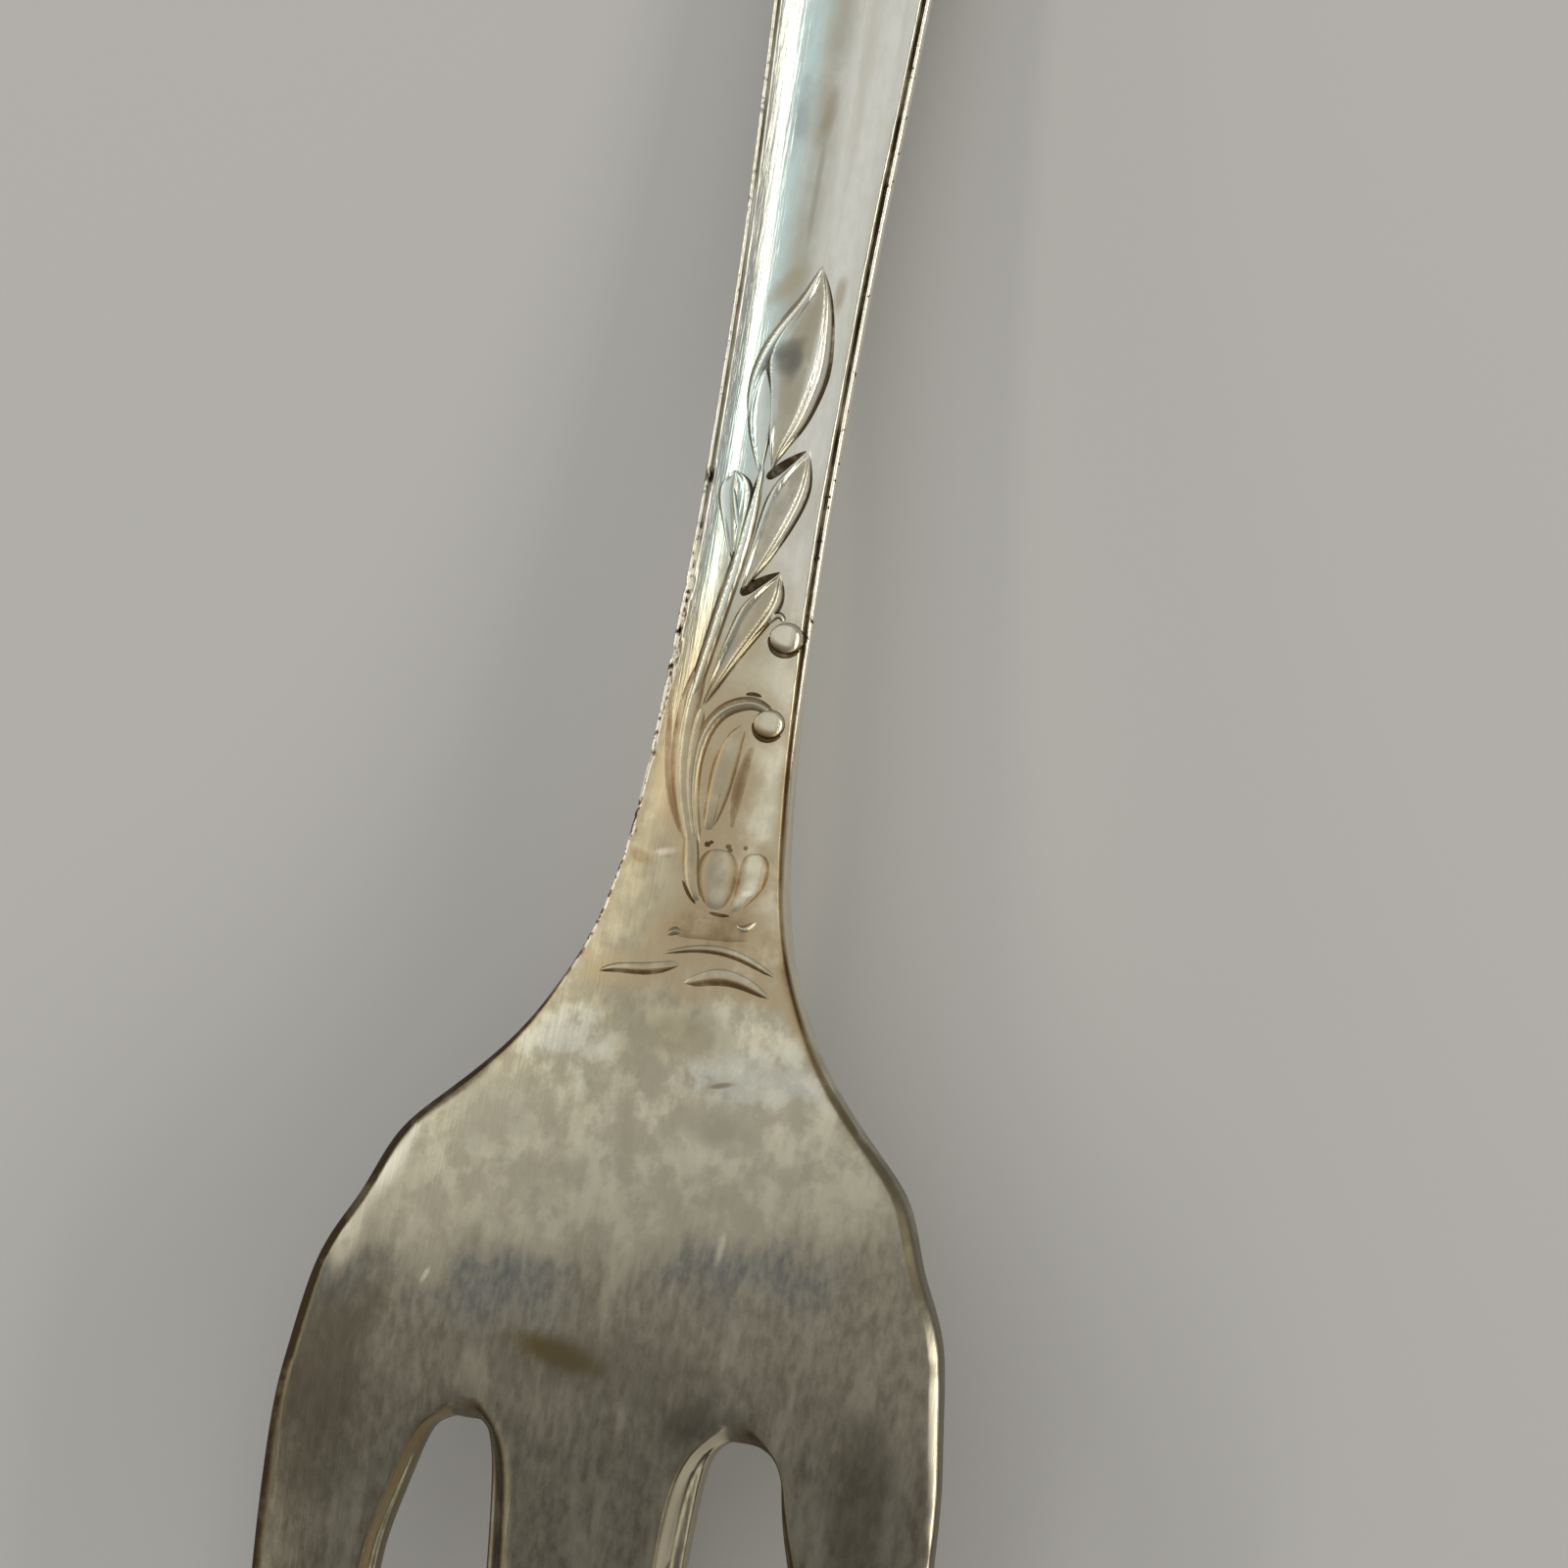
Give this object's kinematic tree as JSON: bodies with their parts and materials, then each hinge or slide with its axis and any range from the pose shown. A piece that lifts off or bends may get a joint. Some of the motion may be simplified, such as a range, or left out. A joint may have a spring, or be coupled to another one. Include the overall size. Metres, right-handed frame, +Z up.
{
  "type": "oyster fork",
  "caption": "Small silver oyster fork with long slim tines, a flared palm, a narrow shank with a leaf and bud spray on its back, and a widening rounded handle.",
  "frame": {"origin": "centre of the bounding box in X and Y, on the surface that the fork lies on in Z", "axes": "+Y runs from the tine tips to the end of the handle, +X across the tines, +Z up out of the back of the fork, which lies face down"},
  "size_m": [0.0194, 0.142, 0.0078],
  "materials": {
    "silver": "worn and lightly tarnished silver plate",
    "silver_relief": "worn silver plate, bright on the raised edges"
  },
  "bodies": {
    "root": {"tine_left": "silver", "tine_centre": "silver", "tine_right": "silver", "palm": "silver", "neck": "silver", "shank": "silver", "handle": "silver", "handle_end": "silver", "top_leaf": "silver_relief", "left_leaves": "silver_relief", "right_leaves": "silver_relief", "main_stem": "silver_relief", "bud_sprigs": "silver_relief", "buds": "silver_relief", "stalks": "silver_relief", "cup": "silver_relief", "foot_bands": "silver_relief"}
  },
  "joints": []
}
